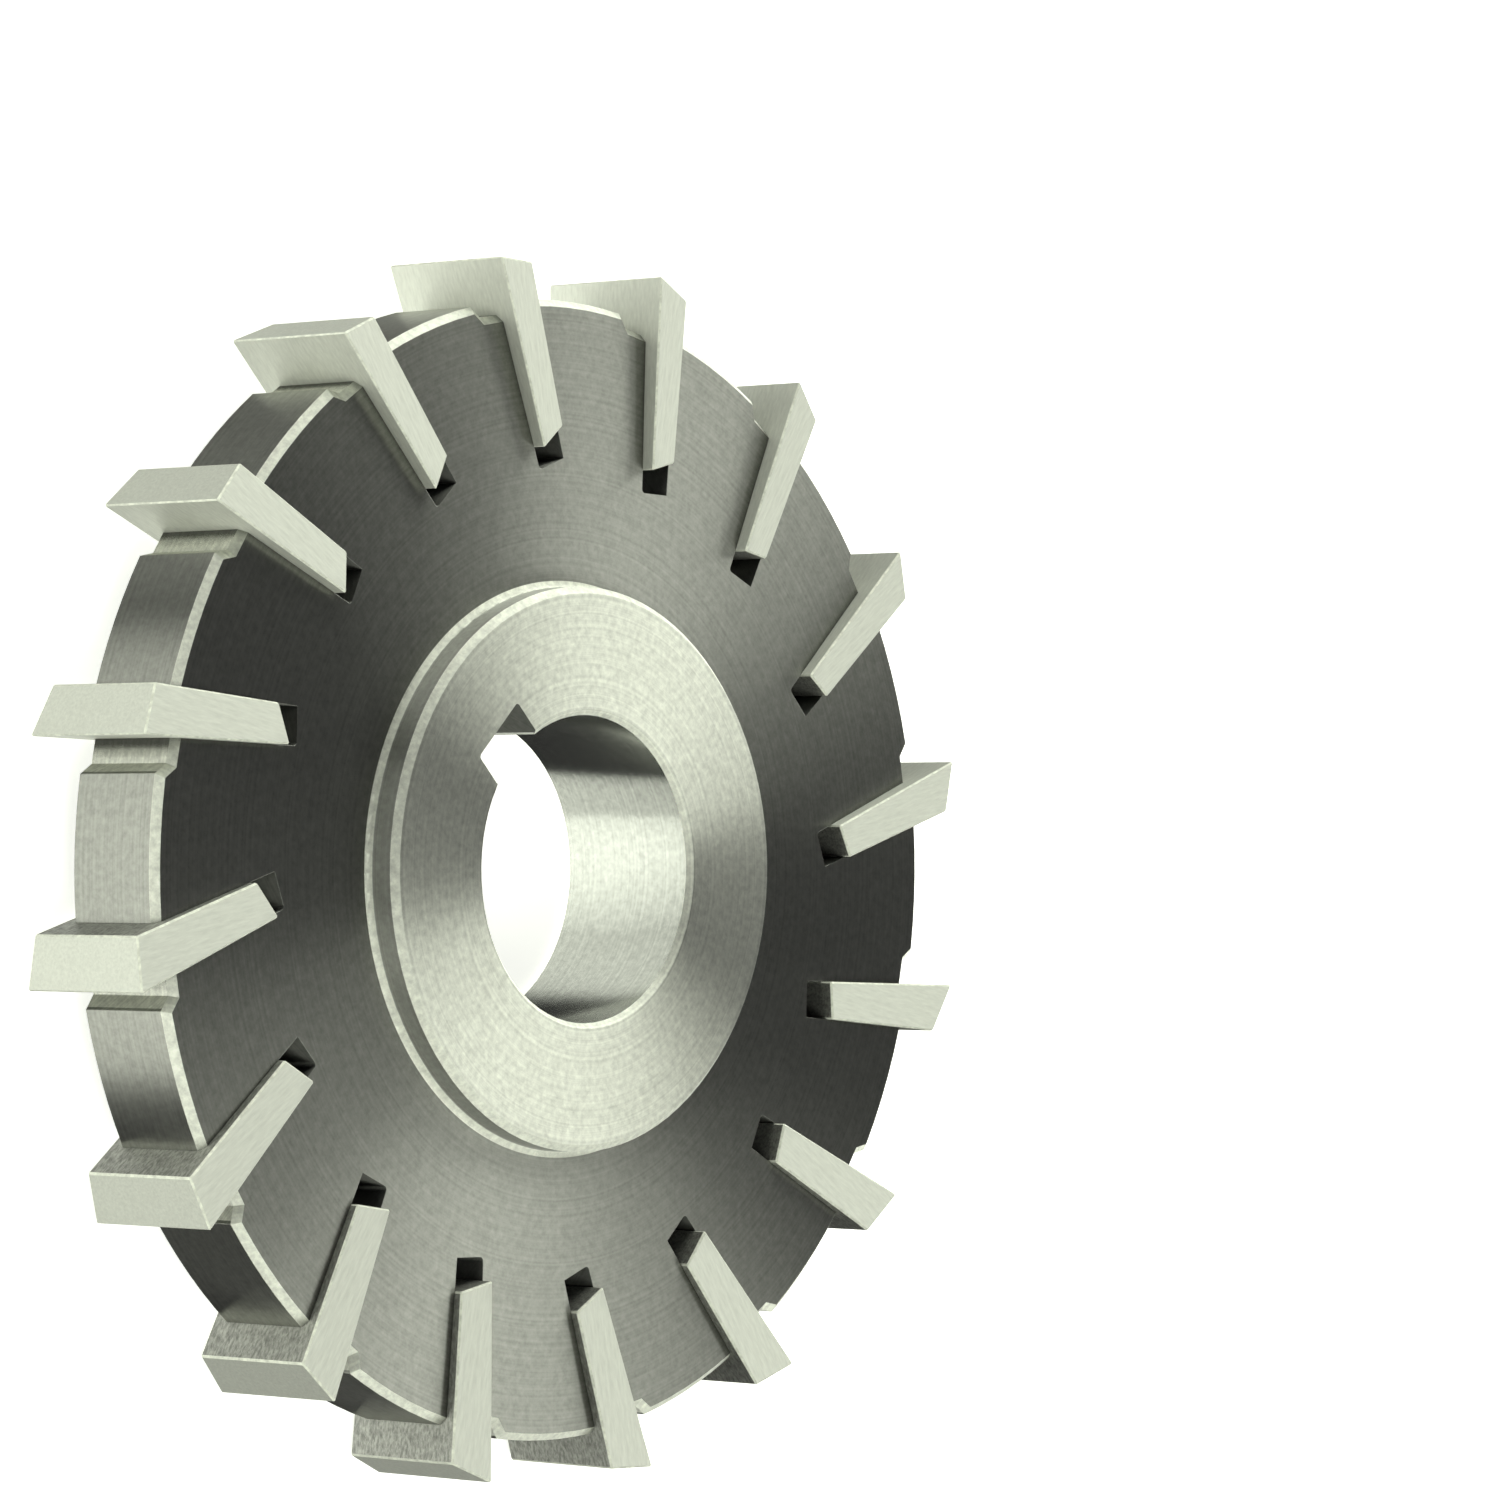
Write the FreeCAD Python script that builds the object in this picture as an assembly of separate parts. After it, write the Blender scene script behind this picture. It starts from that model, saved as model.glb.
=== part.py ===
# Side milling cutter with inserted blades.
# A steel body carries straight blades, each driven into its own tapered slot.
# Sizes are in millimetres and degrees. The cutter lies on its back: the bore stands
# along +Z, the taller hub face is on top, and the keyway opens towards +X.

import FreeCAD, Part
import math
import os

from FreeCAD import Vector

# The circle of the blades' tips and the width over their side edges
TIP_DIAMETER = 152.4
CUTTING_WIDTH = 19.05
BLADE_COUNT = 16

# How far the blades stand out of the body, at its rim and at each side
RIM_STANDOUT = 5.6
SIDE_STANDOUT = 2.425
BODY_EDGE_CHAMFER = 0.9

# The hub, level with the blades at the back and proud of them at the front
HUB_DIAMETER = 69.85
HUB_FRONT_RISE = 4.3
HUB_EDGE_CHAMFER = 0.85
HUB_FILLET = 0.8

# The bore and its keyway
BORE_DIAMETER = 38.1
BORE_CHAMFER = 0.7
KEYWAY_WIDTH = 9.525
KEYWAY_DEPTH = 4.8
KEYWAY_CORNER = 0.5

# One blade, seen along the bore: a wedge that is thickest at its tip
BLADE_LENGTH = 24.5
BLADE_TIP_THICKNESS = 6.3
BLADE_ROOT_THICKNESS = 4.8
BLADE_ROOT_SLANT = 1.3
RAKE_ANGLE = 9.9
LAND_RELIEF_ANGLE = 12.0
SIDE_CLEARANCE_ANGLE = 8.5
SIDE_DISH_ANGLE = 1.5

# The slot, and the chip notch in the rim ahead of each blade
BLADE_FIT = 0.01
SLOT_FLOOR_GAP = 2.8
SLOT_CORNER = 0.5
NOTCH_DEPTH = 1.6
NOTCH_FLOOR_WIDTH = 3.0

# How far the cutting solids run past the metal that they cut
OVERRUN = 5.0

tip_radius = TIP_DIAMETER / 2
body_radius = tip_radius - RIM_STANDOUT
hub_radius = HUB_DIAMETER / 2
bore_radius = BORE_DIAMETER / 2
pitch_angle = 360.0 / BLADE_COUNT

# Heights above the back, which the hub and the blades' back edges share
body_back = SIDE_STANDOUT
body_front = CUTTING_WIDTH - SIDE_STANDOUT
hub_front = body_front + HUB_FRONT_RISE


def add_prism(outline, bottom, top):
    """Solid of constant section between two heights; the outline is (x, y) pairs."""
    corners = [Vector(x, y, bottom) for x, y in outline]
    face = Part.Face(Part.makePolygon(corners + corners[:1]))
    return face.extrude(Vector(0, 0, top - bottom))


def revolve_section(edges):
    """Solid of revolution about the bore's axis from a closed section in the XZ plane."""
    face = Part.Face(Part.Wire(edges))
    return face.revolve(Vector(0, 0, 0), Vector(0, 0, 1), 360)


def joined_lines(points):
    """Straight edges through (radius, height) pairs."""
    corners = [Vector(r, 0, z) for r, z in points]
    return [Part.LineSegment(a, b).toShape() for a, b in zip(corners, corners[1:])]


def blade_place(along, across):
    """(x, y) of a point on the blade whose tip is on the +X axis.

    along runs inward down the rake face from the tip, across runs from the rake face
    towards the heel.
    """
    rake = math.radians(RAKE_ANGLE)
    x = tip_radius - along * math.cos(rake) + across * math.sin(rake)
    y = -along * math.sin(rake) - across * math.cos(rake)
    return x, y


def heel_across(along):
    """How far the heel side lies from the rake face at a distance from the tip."""
    taper = (BLADE_TIP_THICKNESS - BLADE_ROOT_THICKNESS) / BLADE_LENGTH
    return BLADE_TIP_THICKNESS - taper * along


def heel_tip():
    """Where the relieved land at the tip meets the heel side: (along, across)."""
    slope = math.tan(math.radians(RAKE_ANGLE + LAND_RELIEF_ANGLE))
    taper = (BLADE_TIP_THICKNESS - BLADE_ROOT_THICKNESS) / BLADE_LENGTH
    across = BLADE_TIP_THICKNESS / (1 + taper * slope)
    return across * slope, across


def side_setback(along, across):
    """How far the blade's side face has fallen back from the cutting corner."""
    clearance = math.tan(math.radians(SIDE_CLEARANCE_ANGLE))
    dish = math.tan(math.radians(SIDE_DISH_ANGLE))
    return across * clearance + along * dish


def make_blade():
    """One blade with its cutting corner on the +X axis."""
    root_heel = BLADE_LENGTH - BLADE_ROOT_SLANT
    corners = [(0.0, 0.0), (BLADE_LENGTH, 0.0), (root_heel, heel_across(root_heel)), heel_tip()]
    back = []
    front = []
    for along, across in corners:
        x, y = blade_place(along, across)
        setback = side_setback(along, across)
        back.append(Vector(x, y, setback))
        front.append(Vector(x, y, CUTTING_WIDTH - setback))
    rings = [back, front]
    for here in range(len(corners)):
        ahead = (here + 1) % len(corners)
        rings.append([back[here], back[ahead], front[ahead], front[here]])
    faces = [Part.Face(Part.makePolygon(ring + ring[:1])) for ring in rings]
    return Part.Solid(Part.Shell(faces))


def make_slot():
    """The space that is cut for the blade on the +X axis, through the body's thickness."""
    floor = BLADE_LENGTH + SLOT_FLOOR_GAP
    outline = [
        blade_place(-OVERRUN, -BLADE_FIT),
        blade_place(floor, -BLADE_FIT),
        blade_place(floor, heel_across(floor) + BLADE_FIT),
        blade_place(-OVERRUN, heel_across(-OVERRUN) + BLADE_FIT),
    ]
    slot = add_prism(outline, body_back - OVERRUN, body_front + OVERRUN)
    inner = math.hypot(*outline[1]) + SLOT_CORNER
    floor_edges = [edge for edge in slot.Edges if is_upright(edge) and reach(edge) < inner]
    return slot.makeFillet(SLOT_CORNER, floor_edges)


def make_notch():
    """The chip notch in the rim, ahead of the blade on the +X axis."""
    floor = body_radius - NOTCH_DEPTH
    rake_foot = blade_place((tip_radius - floor) / math.cos(math.radians(RAKE_ANGLE)), 0)[1]
    in_slot = rake_foot - BLADE_ROOT_THICKNESS / 2
    floor_end = rake_foot + NOTCH_FLOOR_WIDTH
    rise = NOTCH_DEPTH + OVERRUN
    outline = [
        (floor, in_slot),
        (floor + rise, in_slot),
        (floor + rise, floor_end + rise),
        (floor, floor_end),
    ]
    return add_prism(outline, body_back - OVERRUN, body_front + OVERRUN)


def is_upright(edge):
    """True for a straight edge along the bore's direction."""
    low, high = edge.Vertexes[0].Point, edge.Vertexes[-1].Point
    return abs(low.x - high.x) + abs(low.y - high.y) < 1e-6


def reach(edge):
    """The greatest distance of an edge's ends from the bore's axis."""
    return max(math.hypot(corner.X, corner.Y) for corner in edge.Vertexes)


def turned(shape, angle):
    """A copy of a shape, turned about the bore's axis."""
    copy = shape.copy()
    copy.rotate(Vector(0, 0, 0), Vector(0, 0, 1), angle)
    return copy


def blade_angles():
    """Where the blades' cutting corners stand, with the keyway midway between two of them."""
    return [(number + 0.5) * pitch_angle for number in range(BLADE_COUNT)]


def make_disc():
    """The notched disc with its outer edges broken, before the slots are cut."""
    disc = Part.makeCylinder(body_radius, body_front - body_back, Vector(0, 0, body_back))
    disc = disc.cut(Part.makeCompound([turned(make_notch(), angle) for angle in blade_angles()]))
    disc = disc.Solids[0]
    rim_edges = [edge for edge in disc.Edges if not is_upright(edge)]
    return disc.makeChamfer(BODY_EDGE_CHAMFER, rim_edges)


def make_hub():
    """The hub with a fillet where it meets the body on either side."""
    foot = hub_radius + HUB_FILLET
    bend = HUB_FILLET * (1 - math.sqrt(0.5))
    back_points = [(0, 0), (hub_radius - HUB_EDGE_CHAMFER, 0), (hub_radius, HUB_EDGE_CHAMFER)]
    back_points.append((hub_radius, body_back - HUB_FILLET))
    front_points = [(hub_radius, body_front + HUB_FILLET), (hub_radius, hub_front - HUB_EDGE_CHAMFER)]
    front_points += [(hub_radius - HUB_EDGE_CHAMFER, hub_front), (0, hub_front), (0, 0)]
    back_arc = Part.Arc(
        Vector(hub_radius, 0, body_back - HUB_FILLET),
        Vector(hub_radius + bend, 0, body_back - bend),
        Vector(foot, 0, body_back),
    )
    front_arc = Part.Arc(
        Vector(foot, 0, body_front),
        Vector(hub_radius + bend, 0, body_front + bend),
        Vector(hub_radius, 0, body_front + HUB_FILLET),
    )
    edges = joined_lines(back_points) + [back_arc.toShape()]
    edges += joined_lines([(foot, body_back), (foot, body_front)]) + [front_arc.toShape()]
    return revolve_section(edges + joined_lines(front_points))


def make_bore():
    """The bore with its chamfered mouths."""
    mouth = bore_radius + BORE_CHAMFER
    section = [
        (0, -OVERRUN),
        (mouth, -OVERRUN),
        (mouth, 0),
        (bore_radius, BORE_CHAMFER),
        (bore_radius, hub_front - BORE_CHAMFER),
        (mouth, hub_front),
        (mouth, hub_front + OVERRUN),
        (0, hub_front + OVERRUN),
        (0, -OVERRUN),
    ]
    return revolve_section(joined_lines(section))


def make_keyway():
    """The keyway beside the bore, with small radii along its floor."""
    depth = bore_radius + KEYWAY_DEPTH
    corner = Vector(0, -KEYWAY_WIDTH / 2, -OVERRUN)
    keyway = Part.makeBox(depth, KEYWAY_WIDTH, hub_front + 2 * OVERRUN, corner)
    floor_edges = [edge for edge in keyway.Edges if is_upright(edge) and reach(edge) > depth]
    return keyway.makeFillet(KEYWAY_CORNER, floor_edges)


def make_body():
    """The one-piece body: disc, hub, bore, keyway and slots."""
    body = make_disc().fuse(make_hub())
    body = body.cut(make_bore()).cut(make_keyway())
    slots = Part.makeCompound([turned(make_slot(), angle) for angle in blade_angles()])
    return body.cut(slots).removeSplitter().Solids[0]


def save(shape, name):
    """Write one piece and say how large it is."""
    shape.exportStep(os.path.join("parts", name + ".step"))
    print(name, "valid", shape.isValid(), "volume", round(shape.Volume, 3))


def main():
    os.makedirs("parts", exist_ok=True)
    save(make_body(), "cutter_body")
    blade = make_blade()
    for number, angle in enumerate(blade_angles(), start=1):
        save(turned(blade, angle), "blade_%02d" % number)


main()
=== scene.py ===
"""Side milling cutter with inserted blades: its finishes, broken edges, studio and camera."""

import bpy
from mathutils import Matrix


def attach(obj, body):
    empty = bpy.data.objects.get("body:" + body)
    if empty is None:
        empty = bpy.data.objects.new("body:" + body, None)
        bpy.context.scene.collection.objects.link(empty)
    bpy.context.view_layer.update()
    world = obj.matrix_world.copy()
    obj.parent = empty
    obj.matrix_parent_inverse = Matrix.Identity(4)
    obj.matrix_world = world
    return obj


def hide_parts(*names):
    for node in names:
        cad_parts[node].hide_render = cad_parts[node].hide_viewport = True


bl_info = {
    "name": "Inserted-blade side cutter",
    "version": (1, 0, 0),
    "blender": (4, 5, 0),
    "location": "3D Viewport > Sidebar > Cutter",
    "description": "Finishes the cutter's body and blades and sets it in a plain studio",
    "category": "Object",
}

import math

import bmesh
import bpy
from bpy.props import FloatProperty, FloatVectorProperty, PointerProperty
from mathutils import Matrix, Quaternion, Vector

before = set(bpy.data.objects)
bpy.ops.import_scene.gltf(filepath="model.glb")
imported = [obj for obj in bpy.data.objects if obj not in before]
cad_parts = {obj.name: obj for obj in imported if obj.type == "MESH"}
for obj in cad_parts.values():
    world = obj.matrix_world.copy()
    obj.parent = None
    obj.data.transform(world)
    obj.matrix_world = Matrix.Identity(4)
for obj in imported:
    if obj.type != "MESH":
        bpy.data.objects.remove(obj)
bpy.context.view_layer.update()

BODY_NODE = "cutter_body"
BLADE_NODES = sorted(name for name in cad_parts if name.startswith("blade_"))

MILLIMETRE = 0.001

# Sockets of a Mix node by number, because those for numbers and for colours share their names
MIX_SHARE = 0
NUMBER_A = 2
NUMBER_B = 3
COLOUR_A = 6
COLOUR_B = 7
COLOUR_OUT = 2


def linear(code):
    """The linear colour of an sRGB hex value, such as "a0b0c0"."""
    shares = [int(code[start:start + 2], 16) / 255 for start in (0, 2, 4)]
    bent = [share / 12.92 if share <= 0.04045 else ((share + 0.055) / 1.055) ** 2.4 for share in shares]
    return (*bent, 1.0)


def colour_property(name, description, code):
    """A colour that the panel shows, with its default as an sRGB hex value."""
    return FloatVectorProperty(
        name=name, description=description, default=linear(code),
        size=4, min=0.0, max=1.0, subtype="COLOR",
    )


def length_property(name, description, millimetres):
    """A length that the panel shows, with its default in millimetres."""
    return FloatProperty(
        name=name, description=description, default=millimetres * MILLIMETRE,
        min=0.0, unit="LENGTH",
    )


def angle_property(name, description, degrees):
    """An angle that the panel shows, with its default in degrees."""
    return FloatProperty(
        name=name, description=description, default=math.radians(degrees),
        subtype="ANGLE", unit="ROTATION",
    )


def strength_property(name, description, strength):
    """A light's strength that the panel shows."""
    return FloatProperty(name=name, description=description, default=strength, min=0.0)


class CutterBodyProperties(bpy.types.PropertyGroup):
    """Colours and marks of the turned body."""

    side_steel: colour_property("Side steel", "Darkened steel of the disc's two sides", "858681")
    hub_steel: colour_property("Hub steel", "Bright steel of the hub's flat ends", "dddfd6")
    bore_steel: colour_property("Bore steel", "Bright steel of the bore's wall", "a1a39d")
    rim_steel: colour_property("Rim steel", "Steel of the rim and of the hub's side wall", "a0a19b")
    milled_steel: colour_property("Milled steel", "Dull steel in the blade slots and the keyway", "646561")
    # The chip notches are milled like the slots; their far paler steel is a painted highlight
    notch_steel: colour_property("Notch steel", "Pale steel of the chip notches", "e4e5dd")
    edge_steel: colour_property("Edge steel", "Bright steel of the chamfers and fillets", "eef0e7")
    ring_pitch: length_property("Ring pitch", "Distance between two turning marks", 0.45)
    speckle: length_property("Speckle", "Size of the grains in the surface", 0.9)
    edge_round: length_property("Edge round", "Radius that a sharp edge seems to have", 0.15)
    # How far from a blade the painted shade in the corners reaches
    painted_shade_reach: length_property("Painted shade reach", "How near to a blade the steel is darker", 3.0)


class CutterBladeProperties(bpy.types.PropertyGroup):
    """Colours and marks of the ground blades."""

    ground_steel: colour_property("Ground steel", "Pale steel of the ground faces", "d7d9d1")
    flank_steel: colour_property("Flank steel", "Greyer steel of the blades' heel and root", "a8a9a3")
    edge_steel: colour_property("Edge steel", "Bright steel of the broken edges", "ebede4")
    edge_break: length_property("Edge break", "Width taken off each edge", 0.22)
    grind_pitch: length_property("Grinding pitch", "Distance between two grinding lines", 0.35)
    streak: length_property("Streak", "Length of the heel's streaks and of the edges' marks", 0.9)


class CutterStageProperties(bpy.types.PropertyGroup):
    """The floor, the light and the camera."""

    floor_sheet: colour_property("Floor sheet", "Pale translucent sheet under the cutter", "f4f5f0")
    floor_width: length_property("Floor width", "Side of the square floor", 3000.0)
    floor_glow: strength_property("Floor glow", "Light that comes up through the sheet", 0.85)
    room_tone: colour_property("Room tone", "Even light of the room round the softboxes", "5f5f5f")
    ceiling_tone: colour_property("Ceiling tone", "Light from the ceiling", "737373")
    under_tone: colour_property("Under tone", "Light that comes from under the sheet", "454545")
    light_tone: colour_property("Light tone", "Colour of the softboxes", "fcfff4")
    brightness: strength_property("Brightness", "Strength of all softboxes", 1.0)
    camera_azimuth: angle_property("Camera azimuth", "Direction of the camera round the bore", 46.79)
    camera_elevation: angle_property("Camera elevation", "Height of the camera over the disc", 40.17)
    camera_roll: angle_property("Camera roll", "Turn of the picture, which stands the disc upright", 89.25)
    camera_distance: length_property("Camera distance", "From the camera to the disc's front", 783.38)
    camera_lens: FloatProperty(
        name="Camera lens", description="Focal length", default=147.59, min=1.0, unit="CAMERA"
    )


def add_node(tree, kind, settings, links):
    """Add a node; settings are attributes or sockets' values, links are what feeds its sockets."""
    node = tree.nodes.new(kind)
    for key, value in settings.items():
        if isinstance(key, str) and hasattr(node, key):
            setattr(node, key, value)
        else:
            node.inputs[key].default_value = value
    for key, source in links.items():
        tree.links.new(source, node.inputs[key])
    return node


def ramp(tree, source, start, end, low=0.0, high=1.0):
    """A number that runs from low to high while its source runs from start to end."""
    limits = {"From Min": start, "From Max": end, "To Min": low, "To Max": high}
    return add_node(tree, "ShaderNodeMapRange", limits, {"Value": source}).outputs[0]


def calculate(tree, operation, *sources):
    """The result of one calculation with numbers."""
    return add_node(tree, "ShaderNodeMath", {"operation": operation}, dict(enumerate(sources))).outputs[0]


def shaded(tree, colour, shade):
    """A property's colour made lighter and darker by a pattern."""
    settings = {"operation": "SCALE", 0: colour[:3]}
    return add_node(tree, "ShaderNodeVectorMath", settings, {"Scale": shade}).outputs[0]


def new_material(name):
    """An empty node material with its output, as (material, tree, output)."""
    material = bpy.data.materials.new(name)
    material.use_nodes = True
    material.node_tree.nodes.clear()
    output = material.node_tree.nodes.new("ShaderNodeOutputMaterial")
    return material, material.node_tree, output


# Where one finish of the body ends and the next begins, in millimetres from the bore's axis
BORE_WALL_END = 19.4
HUB_WALL_START = 34.0
HUB_WALL_END = 36.0
HUB_FACE_END = 35.0
DISC_FACE_START = 35.72
NOTCH_START = 66.0
RIM_START = 70.3

# Half the width over which one finish turns into the next, in millimetres
FINISH_BLEND = 0.02

# The Z share of a face's direction is 0 on a wall and 1 on a level face. Each pair is where a
# face begins to count as one, and where it does in full
WALL_LIMITS = (0.35, 0.2)
LEVEL_LIMITS = (0.9, 0.98)

EDGE_ROUGHNESS = 0.85
MILLED_ROUGHNESS = 0.68
TURNING_DEPTH = 0.02 * MILLIMETRE

# Where the painted shade beside the blades begins outside the hub and where it is at full strength,
# and the middle and half the width of the notches' floors, all in millimetres from the bore's axis
PAINTED_SHADE_START = 36.0
PAINTED_SHADE_FULL = 36.5
NOTCH_FLOOR_MIDDLE = 69.6
NOTCH_FLOOR_HALF = 0.7


def finish_by_radius(tree, radius, bands):
    """Colour and roughness by the distance from the bore's axis, from (start, colour, roughness)."""
    _, first_colour, first_roughness = bands[0]
    colour = add_node(tree, "ShaderNodeRGB", {}, {}).outputs[0]
    colour.default_value = first_colour
    roughness = add_node(tree, "ShaderNodeValue", {}, {}).outputs[0]
    roughness.default_value = first_roughness
    for start, next_colour, next_roughness in bands[1:]:
        beyond = ramp(
            tree, radius, (start - FINISH_BLEND) * MILLIMETRE, (start + FINISH_BLEND) * MILLIMETRE
        )
        colour = add_node(
            tree, "ShaderNodeMix", {"data_type": "RGBA", COLOUR_B: next_colour},
            {MIX_SHARE: beyond, COLOUR_A: colour},
        ).outputs[COLOUR_OUT]
        roughness = add_node(
            tree, "ShaderNodeMix", {NUMBER_B: next_roughness}, {MIX_SHARE: beyond, NUMBER_A: roughness}
        ).outputs[0]
    return colour, roughness


def body_finish(tree, look, radius, upright, level):
    """Colour and roughness of the body's parts, told apart by their direction and their radius."""
    walls = (
        (0.0, look.bore_steel, 0.22),
        (BORE_WALL_END, look.milled_steel, MILLED_ROUGHNESS),
        (HUB_WALL_START, look.rim_steel, 0.42),
        (HUB_WALL_END, look.milled_steel, MILLED_ROUGHNESS),
        # The notches' pale steel is a painted highlight
        (NOTCH_START, look.notch_steel, 0.85),
        (RIM_START, look.rim_steel, 0.32),
    )
    faces = (
        (0.0, look.hub_steel, 0.62),
        (HUB_FACE_END, look.edge_steel, EDGE_ROUGHNESS),
        (DISC_FACE_START, look.side_steel, 0.38),
    )
    steel, polish = finish_by_radius(tree, radius, ((0.0, look.edge_steel, EDGE_ROUGHNESS),))
    for share, bands in ((upright, walls), (level, faces)):
        colour, roughness = finish_by_radius(tree, radius, bands)
        steel = add_node(
            tree, "ShaderNodeMix", {"data_type": "RGBA"},
            {MIX_SHARE: share, COLOUR_A: steel, COLOUR_B: colour},
        ).outputs[COLOUR_OUT]
        polish = add_node(
            tree, "ShaderNodeMix", {}, {MIX_SHARE: share, NUMBER_A: polish, NUMBER_B: roughness}
        ).outputs[0]
    return steel, polish


def turning_marks(tree, look, place, radius, height):
    """The lathe's rings and the grain of the steel, as a number round 1."""
    # Rings follow the radius on flat faces and the height on round walls. Real ones are about
    # 0.15 mm apart, too fine to show, so they are drawn coarser
    rings = add_node(
        tree, "ShaderNodeTexNoise",
        {"noise_dimensions": "1D", "Scale": 1 / look.ring_pitch, "Detail": 2.0},
        {"W": calculate(tree, "ADD", radius, height)},
    ).outputs[0]
    grain = add_node(
        tree, "ShaderNodeTexNoise",
        {"noise_dimensions": "3D", "Scale": 1 / look.speckle, "Detail": 3.0, "Roughness": 0.65},
        {"Vector": place},
    ).outputs[0]
    soft_rings = ramp(tree, rings, 0.0, 1.0, 0.25, 0.75)
    return calculate(tree, "ADD", soft_rings, grain)


def painted_corner_shade(tree, look, radius, upright):
    """Painted shade in the corners beside the blades: what it leaves of the steel's brightness."""
    openness = add_node(
        tree, "ShaderNodeAmbientOcclusion", {"samples": 8, "Distance": look.painted_shade_reach}, {}
    ).outputs["AO"]
    corner_shade = ramp(tree, openness, 0.52, 0.7, 0.45, 1.0)
    outside_hub = ramp(tree, radius, PAINTED_SHADE_START * MILLIMETRE, PAINTED_SHADE_FULL * MILLIMETRE)
    side_painted_shade = add_node(
        tree, "ShaderNodeMix", {NUMBER_A: 1.0}, {MIX_SHARE: outside_hub, NUMBER_B: corner_shade}
    ).outputs[0]

    # In the chip notches the painted shade is darker and wider, as the shadow under the blade
    notch_shade = ramp(tree, openness, 0.64, 0.74, 0.2, 1.0)
    at_notch = add_node(
        tree, "ShaderNodeMath",
        {"operation": "COMPARE", 1: NOTCH_FLOOR_MIDDLE * MILLIMETRE, 2: NOTCH_FLOOR_HALF * MILLIMETRE},
        {0: radius},
    ).outputs[0]
    on_notch_floor = calculate(tree, "MULTIPLY", at_notch, upright)
    return add_node(
        tree, "ShaderNodeMix", {},
        {MIX_SHARE: on_notch_floor, NUMBER_A: side_painted_shade, NUMBER_B: notch_shade},
    ).outputs[0]


def turned_steel(look):
    """Turned steel: the lathe's fine rings stretch every highlight across them into a fan."""
    material, tree, output = new_material("Turned tool steel")
    place = add_node(tree, "ShaderNodeTexCoord", {}, {})
    split = add_node(tree, "ShaderNodeSeparateXYZ", {}, {0: place.outputs["Object"]})
    flat = add_node(
        tree, "ShaderNodeCombineXYZ", {}, {"X": split.outputs["X"], "Y": split.outputs["Y"]}
    ).outputs[0]
    radius = add_node(tree, "ShaderNodeVectorMath", {"operation": "LENGTH"}, {0: flat}).outputs["Value"]
    facing = add_node(tree, "ShaderNodeSeparateXYZ", {}, {0: place.outputs["Normal"]})
    slope = calculate(tree, "ABSOLUTE", facing.outputs["Z"])
    upright = ramp(tree, slope, *WALL_LIMITS)
    level = ramp(tree, slope, *LEVEL_LIMITS)

    steel, polish = body_finish(tree, look, radius, upright, level)
    marks = turning_marks(tree, look, place.outputs["Object"], radius, split.outputs["Z"])
    mark_shade = ramp(tree, marks, 0.7, 1.3, 0.8, 1.2)
    # The turning marks' shade times the painted shade in the corners beside the blades
    shade = calculate(tree, "MULTIPLY", mark_shade, painted_corner_shade(tree, look, radius, upright))
    tone = add_node(
        tree, "ShaderNodeVectorMath", {"operation": "SCALE"}, {0: steel, "Scale": shade}
    ).outputs[0]
    rounded = add_node(tree, "ShaderNodeBevel", {"samples": 4, "Radius": look.edge_round}, {}).outputs[0]
    relief = add_node(
        tree, "ShaderNodeBump", {"Strength": 0.25, "Distance": TURNING_DEPTH},
        {"Height": marks, "Normal": rounded},
    ).outputs[0]
    cut_direction = add_node(
        tree, "ShaderNodeTangent", {"direction_type": "RADIAL", "axis": "Z"}, {}
    ).outputs[0]
    surface = add_node(
        tree, "ShaderNodeBsdfPrincipled",
        {"Metallic": 1.0, "Anisotropic": 0.95, "Anisotropic Rotation": 0.25},
        {"Base Color": tone, "Roughness": polish, "Normal": relief, "Tangent": cut_direction},
    )
    tree.links.new(surface.outputs[0], output.inputs[0])
    return material


# The grinding pattern is this much less close along the blade, which draws it out into lines
GRIND_STRETCH = 0.15

GRINDING_DEPTH = 0.02 * MILLIMETRE
MILLING_DEPTH = 0.05 * MILLIMETRE


def blade_marks(tree, closeness, detail, roughness):
    """A pattern that is fixed to each blade, with its closeness along, across and up the blade."""
    local = add_node(tree, "ShaderNodeAttribute", {"attribute_name": "blade_place"}, {}).outputs["Vector"]
    stretched = add_node(tree, "ShaderNodeMapping", {"Scale": closeness}, {"Vector": local}).outputs[0]
    return add_node(
        tree, "ShaderNodeTexNoise", {"Scale": 1.0, "Detail": detail, "Roughness": roughness},
        {"Vector": stretched},
    ).outputs[0]


def ground_steel(look):
    """Surface-ground high-speed steel: pale and even, with fine lines along the blade."""
    material, tree, output = new_material("Ground high-speed steel")
    # A grinding wheel leaves lines about 0.05 mm apart, too fine to show, so they are drawn coarser
    closeness = (GRIND_STRETCH / look.grind_pitch, 1 / look.grind_pitch, 1 / look.grind_pitch)
    marks = blade_marks(tree, closeness, 3.0, 0.6)
    tone = shaded(tree, look.ground_steel, ramp(tree, marks, 0.3, 0.7, 0.92, 1.05))
    relief = add_node(
        tree, "ShaderNodeBump", {"Strength": 0.2, "Distance": GRINDING_DEPTH}, {"Height": marks}
    ).outputs[0]
    surface = add_node(
        tree, "ShaderNodeBsdfPrincipled", {"Metallic": 1.0, "Roughness": 0.72},
        {"Base Color": tone, "Normal": relief},
    )
    tree.links.new(surface.outputs[0], output.inputs[0])
    return material


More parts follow.
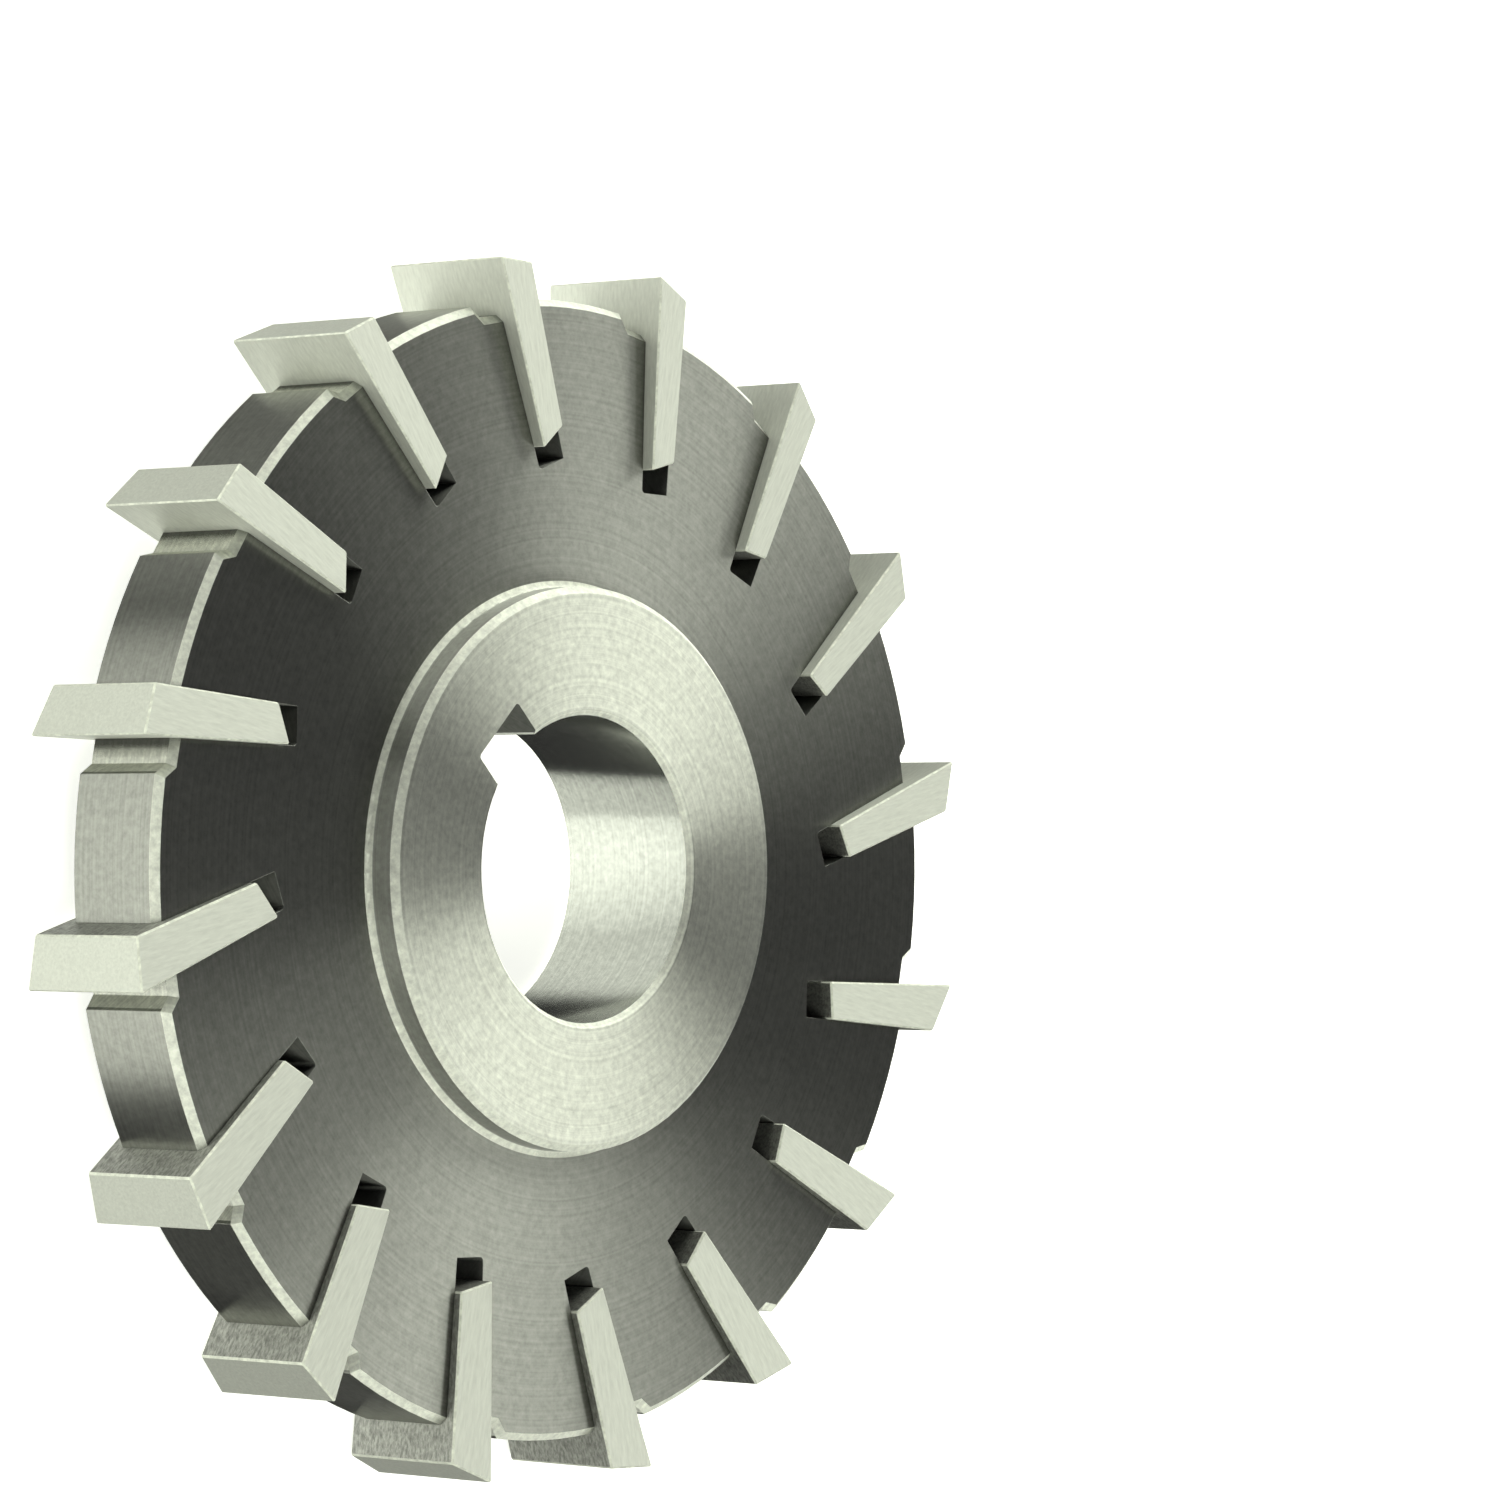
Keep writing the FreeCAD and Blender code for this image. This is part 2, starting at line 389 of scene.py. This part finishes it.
def flank_steel(look):
    """Rough-milled high-speed steel: grey and speckled, with short streaks."""
    material, tree, output = new_material("Rough-milled high-speed steel")
    closeness = (1 / look.streak, 1 / look.grind_pitch, 1 / look.grind_pitch)
    marks = blade_marks(tree, closeness, 4.0, 0.7)
    tone = shaded(tree, look.flank_steel, ramp(tree, marks, 0.35, 0.65, 0.6, 1.25))
    relief = add_node(
        tree, "ShaderNodeBump", {"Strength": 0.4, "Distance": MILLING_DEPTH}, {"Height": marks}
    ).outputs[0]
    surface = add_node(
        tree, "ShaderNodeBsdfPrincipled", {"Metallic": 1.0, "Roughness": 0.6},
        {"Base Color": tone, "Normal": relief},
    )
    tree.links.new(surface.outputs[0], output.inputs[0])
    return material


def honed_steel(look):
    """Honed steel of the broken edges: a thin bright line round each face, a little uneven."""
    material, tree, output = new_material("Honed edge steel")
    closeness = (1 / look.streak, 1 / look.streak, 1 / look.streak)
    marks = blade_marks(tree, closeness, 3.0, 0.6)
    tone = shaded(tree, look.edge_steel, ramp(tree, marks, 0.35, 0.65, 0.86, 1.06))
    surface = add_node(
        tree, "ShaderNodeBsdfPrincipled", {"Metallic": 1.0, "Roughness": 0.85}, {"Base Color": tone}
    )
    tree.links.new(surface.outputs[0], output.inputs[0])
    return material


class CUTTER_OT_finish_body(bpy.types.Operator):
    """Give the turned body its finishes"""

    bl_idname = "cutter.finish_body"
    bl_label = "Finish body"

    def execute(self, context):
        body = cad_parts[BODY_NODE]
        body.data.materials.clear()
        body.data.materials.append(turned_steel(context.scene.cutter_body))
        return {"FINISHED"}


# The blade's faces, by the place of their material on the mesh
GROUND_FACE = 0
FLANK_FACE = 1
EDGE_FACE = 2

WELD_DISTANCE = 0.005 * MILLIMETRE
FLAT_ANGLE = math.radians(0.5)

# Share of a face's direction from which on it counts as facing that way
FACING_SHARE = 0.7


def cutting_corner_angle(node):
    """Direction from the bore's axis to the blade's outermost corner."""
    corner = max((vertex.co for vertex in node.data.vertices), key=lambda place: place.xy.length)
    return math.atan2(corner.y, corner.x)


def blade_face_kind(normal):
    """Which finish a face has, by its direction on the blade whose corner is on the X axis."""
    faces_heel = normal.y < -FACING_SHARE
    faces_bore = normal.x < -FACING_SHARE
    return FLANK_FACE if faces_heel or faces_bore else GROUND_FACE


def build_blade(name, node, look):
    """The ground blade for a node: the same solid with each edge broken."""
    turn = Matrix.Rotation(cutting_corner_angle(node), 3, "Z")
    shape = bmesh.new()
    shape.from_mesh(node.data)
    bmesh.ops.remove_doubles(shape, verts=shape.verts, dist=WELD_DISTANCE)
    bmesh.ops.dissolve_limit(shape, angle_limit=FLAT_ANGLE, verts=shape.verts, edges=shape.edges)
    shape.normal_update()
    for face in shape.faces:
        face.material_index = blade_face_kind(turn.inverted() @ face.normal)
        face.smooth = False
    bmesh.ops.bevel(
        shape, geom=shape.edges[:], offset=look.edge_break, offset_type="OFFSET", segments=1,
        profile=0.5, affect="EDGES", material=EDGE_FACE,
    )
    local = shape.verts.layers.float_vector.new("blade_place")
    for vertex in shape.verts:
        vertex[local] = turn.inverted() @ vertex.co
    mesh = bpy.data.meshes.new(name)
    shape.to_mesh(mesh)
    shape.free()
    return mesh


class CUTTER_OT_grind_blades(bpy.types.Operator):
    """Replace the plain blades by ground ones with broken edges"""

    bl_idname = "cutter.grind_blades"
    bl_label = "Grind blades"

    def execute(self, context):
        look = context.scene.cutter_blades
        finishes = [ground_steel(look), flank_steel(look), honed_steel(look)]
        for node_name in BLADE_NODES:
            name = "ground_" + node_name
            mesh = build_blade(name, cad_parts[node_name], look)
            for finish in finishes:
                mesh.materials.append(finish)
            blade = bpy.data.objects.new(name, mesh)
            context.scene.collection.objects.link(blade)
            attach(blade, "root")
            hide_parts(node_name)
        return {"FINISHED"}


# Lengths of the studio, in metres
SOFTBOX_DISTANCE = 1.0
FLOOR_GAP = 0.05 * MILLIMETRE
CLOUD_WIDTH = 0.4
CARD_WIDTH = 0.07
CARD_HEIGHT = 0.12
CARD_PLACE = (0.0215, 0.0019, -0.025)
NEAREST_SEEN = 0.01

# Each softbox: its azimuth, elevation and turn in degrees, its width and height as shares of its
# distance, and how bright its face is
SOFTBOXES = {
    "softbox_behind_lower_side": (-174, 41, -16, 0.80, 0.43, 2.45),
    "softbox_behind_upper_side": (-93, 19, -12, 1.17, 0.40, 3.65),
    "softbox_camera_side": (44, -13, -8, 1.55, 0.94, 2.3),
    "softbox_over_lower_side": (118, 54, -8, 1.05, 0.42, 3.2),
    "softbox_beside_upper_side": (-35, 15, -30, 1.72, 0.47, 2.2),
}
CARD_TURN = 22.0
CARD_BRIGHTNESS = 1.3

# Watts for each square metre of a softbox whose brightness is 1
SOFTBOX_POWER = 4

# Heights on the sky, as the upright share of a direction, between which its tone changes
HORIZON = (-0.05, 0.05)
CEILING = (0.5, 1.0)

# The place that the middle of the photograph shows, on the plane of the disc's front, and the
# width of the camera's sensor, in millimetres
CAMERA_AIM = (-12.938, -35.878, 16.625)
SENSOR_WIDTH = 36.0


def floor_material(look):
    """Translucent acrylic sheet lit from below: an even pale ground."""
    material, tree, output = new_material("Lit acrylic sheet")
    place = add_node(tree, "ShaderNodeTexCoord", {}, {}).outputs["Object"]
    cloud = add_node(
        tree, "ShaderNodeTexNoise", {"Scale": 1 / CLOUD_WIDTH, "Detail": 1.0}, {"Vector": place}
    ).outputs[0]
    tone = shaded(tree, look.floor_sheet, ramp(tree, cloud, 0.0, 1.0, 0.985, 1.0))
    surface = add_node(
        tree, "ShaderNodeBsdfPrincipled", {"Roughness": 0.8, "Emission Strength": look.floor_glow},
        {"Base Color": tone, "Emission Color": tone},
    )
    tree.links.new(surface.outputs[0], output.inputs[0])
    return material


def lay_floor(scene, look):
    """A square sheet just under the cutter."""
    half = look.floor_width / 2
    corners = [(-half, -half), (half, -half), (half, half), (-half, half)]
    mesh = bpy.data.meshes.new("floor_sheet")
    mesh.from_pydata([(x, y, -FLOOR_GAP) for x, y in corners], [], [(0, 1, 2, 3)])
    mesh.materials.append(floor_material(look))
    floor = bpy.data.objects.new("floor_sheet", mesh)
    scene.collection.objects.link(floor)
    floor.visible_glossy = False
    floor.visible_shadow = False


def direction_at(azimuth, elevation):
    """The direction from the bore to a place in the studio, for angles in radians."""
    flat = math.cos(elevation)
    return Vector((math.cos(azimuth) * flat, math.sin(azimuth) * flat, math.sin(elevation)))


def make_softbox(scene, look, name, width, height, face_brightness):
    """A lit rectangle at the bore, whose power follows from its size and its brightness."""
    light = bpy.data.lights.new(name, "AREA")
    light.shape = "RECTANGLE"
    light.size = width
    light.size_y = height
    light.energy = SOFTBOX_POWER * width * height * face_brightness * look.brightness
    light.color = look.light_tone[:3]
    box = bpy.data.objects.new(name, light)
    box.visible_camera = False
    scene.collection.objects.link(box)
    return box


def hang_softbox(scene, look, name, azimuth, elevation, turn, width, height, face_brightness):
    """A softbox that faces the bore."""
    box = make_softbox(
        scene, look, name, width * SOFTBOX_DISTANCE, height * SOFTBOX_DISTANCE, face_brightness
    )
    outward = direction_at(math.radians(azimuth), math.radians(elevation))
    box.location = outward * SOFTBOX_DISTANCE
    pose = outward.to_track_quat("Z", "Y") @ Quaternion((0, 0, 1), math.radians(turn))
    box.rotation_euler = pose.to_euler()


def slide_card_under_bore(scene, look):
    """A small lit card below the sheet, on one side of the bore, which brightens the bore's wall."""
    card = make_softbox(scene, look, "bore_card", CARD_WIDTH, CARD_HEIGHT, CARD_BRIGHTNESS)
    card.location = CARD_PLACE
    card.rotation_euler = (math.pi, 0.0, math.radians(CARD_TURN))


def light_room(scene, look):
    """Even light from the room above the floor, and less from below it."""
    world = bpy.data.worlds.new("studio_room")
    world.use_nodes = True
    tree = world.node_tree
    sky = add_node(tree, "ShaderNodeTexCoord", {}, {})
    height = add_node(tree, "ShaderNodeSeparateXYZ", {}, {0: sky.outputs["Generated"]}).outputs["Z"]
    tone = add_node(tree, "ShaderNodeRGB", {}, {}).outputs[0]
    tone.default_value = look.under_tone
    for limits, higher_tone in ((HORIZON, look.room_tone), (CEILING, look.ceiling_tone)):
        tone = add_node(
            tree, "ShaderNodeMix", {"data_type": "RGBA", COLOUR_B: higher_tone},
            {MIX_SHARE: ramp(tree, height, *limits), COLOUR_A: tone},
        ).outputs[COLOUR_OUT]
    tree.links.new(tone, tree.nodes["Background"].inputs["Color"])
    scene.world = world


def place_camera(scene, look):
    """A camera where the photograph was taken, rolled so that the disc stands upright."""
    data = bpy.data.cameras.new("catalogue_camera")
    data.lens = look.camera_lens
    data.sensor_width = SENSOR_WIDTH
    data.clip_start = NEAREST_SEEN
    camera = bpy.data.objects.new("catalogue_camera", data)
    back = direction_at(look.camera_azimuth, look.camera_elevation)
    camera.location = Vector(CAMERA_AIM) * MILLIMETRE + back * look.camera_distance
    pose = back.to_track_quat("Z", "Y") @ Quaternion((0, 0, 1), look.camera_roll)
    camera.rotation_euler = pose.to_euler()
    scene.collection.objects.link(camera)
    scene.camera = camera


class CUTTER_OT_set_stage(bpy.types.Operator):
    """Lay the floor, hang the softboxes and place the camera"""

    bl_idname = "cutter.set_stage"
    bl_label = "Set stage"

    def execute(self, context):
        scene = context.scene
        look = scene.cutter_stage
        lay_floor(scene, look)
        for name, sizes in SOFTBOXES.items():
            hang_softbox(scene, look, name, *sizes)
        slide_card_under_bore(scene, look)
        light_room(scene, look)
        place_camera(scene, look)
        scene.view_settings.view_transform = "Standard"
        return {"FINISHED"}


class CUTTER_PT_panel(bpy.types.Panel):
    """Lists the cutter's steps and what a user would change"""

    bl_idname = "CUTTER_PT_panel"
    bl_label = "Side milling cutter"
    bl_space_type = "VIEW_3D"
    bl_region_type = "UI"
    bl_category = "Cutter"

    def draw(self, context):
        steps = (
            ("cutter.finish_body", context.scene.cutter_body),
            ("cutter.grind_blades", context.scene.cutter_blades),
            ("cutter.set_stage", context.scene.cutter_stage),
        )
        for operator, look in steps:
            box = self.layout.box()
            for name in look.bl_rna.properties.keys():
                if name not in ("rna_type", "name"):
                    box.prop(look, name)
            box.operator(operator)


CLASSES = (
    CutterBodyProperties,
    CutterBladeProperties,
    CutterStageProperties,
    CUTTER_OT_finish_body,
    CUTTER_OT_grind_blades,
    CUTTER_OT_set_stage,
    CUTTER_PT_panel,
)


def register():
    """Add the cutter's properties, operators and panel."""
    for kind in CLASSES:
        bpy.utils.register_class(kind)
    bpy.types.Scene.cutter_body = PointerProperty(type=CutterBodyProperties)
    bpy.types.Scene.cutter_blades = PointerProperty(type=CutterBladeProperties)
    bpy.types.Scene.cutter_stage = PointerProperty(type=CutterStageProperties)


def unregister():
    """Take the cutter's properties, operators and panel away again."""
    del bpy.types.Scene.cutter_stage
    del bpy.types.Scene.cutter_blades
    del bpy.types.Scene.cutter_body
    for kind in reversed(CLASSES):
        bpy.utils.unregister_class(kind)


def main():
    """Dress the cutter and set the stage."""
    register()
    bpy.ops.cutter.finish_body()
    bpy.ops.cutter.grind_blades()
    bpy.ops.cutter.set_stage()


if __name__ == "__main__":
    main()
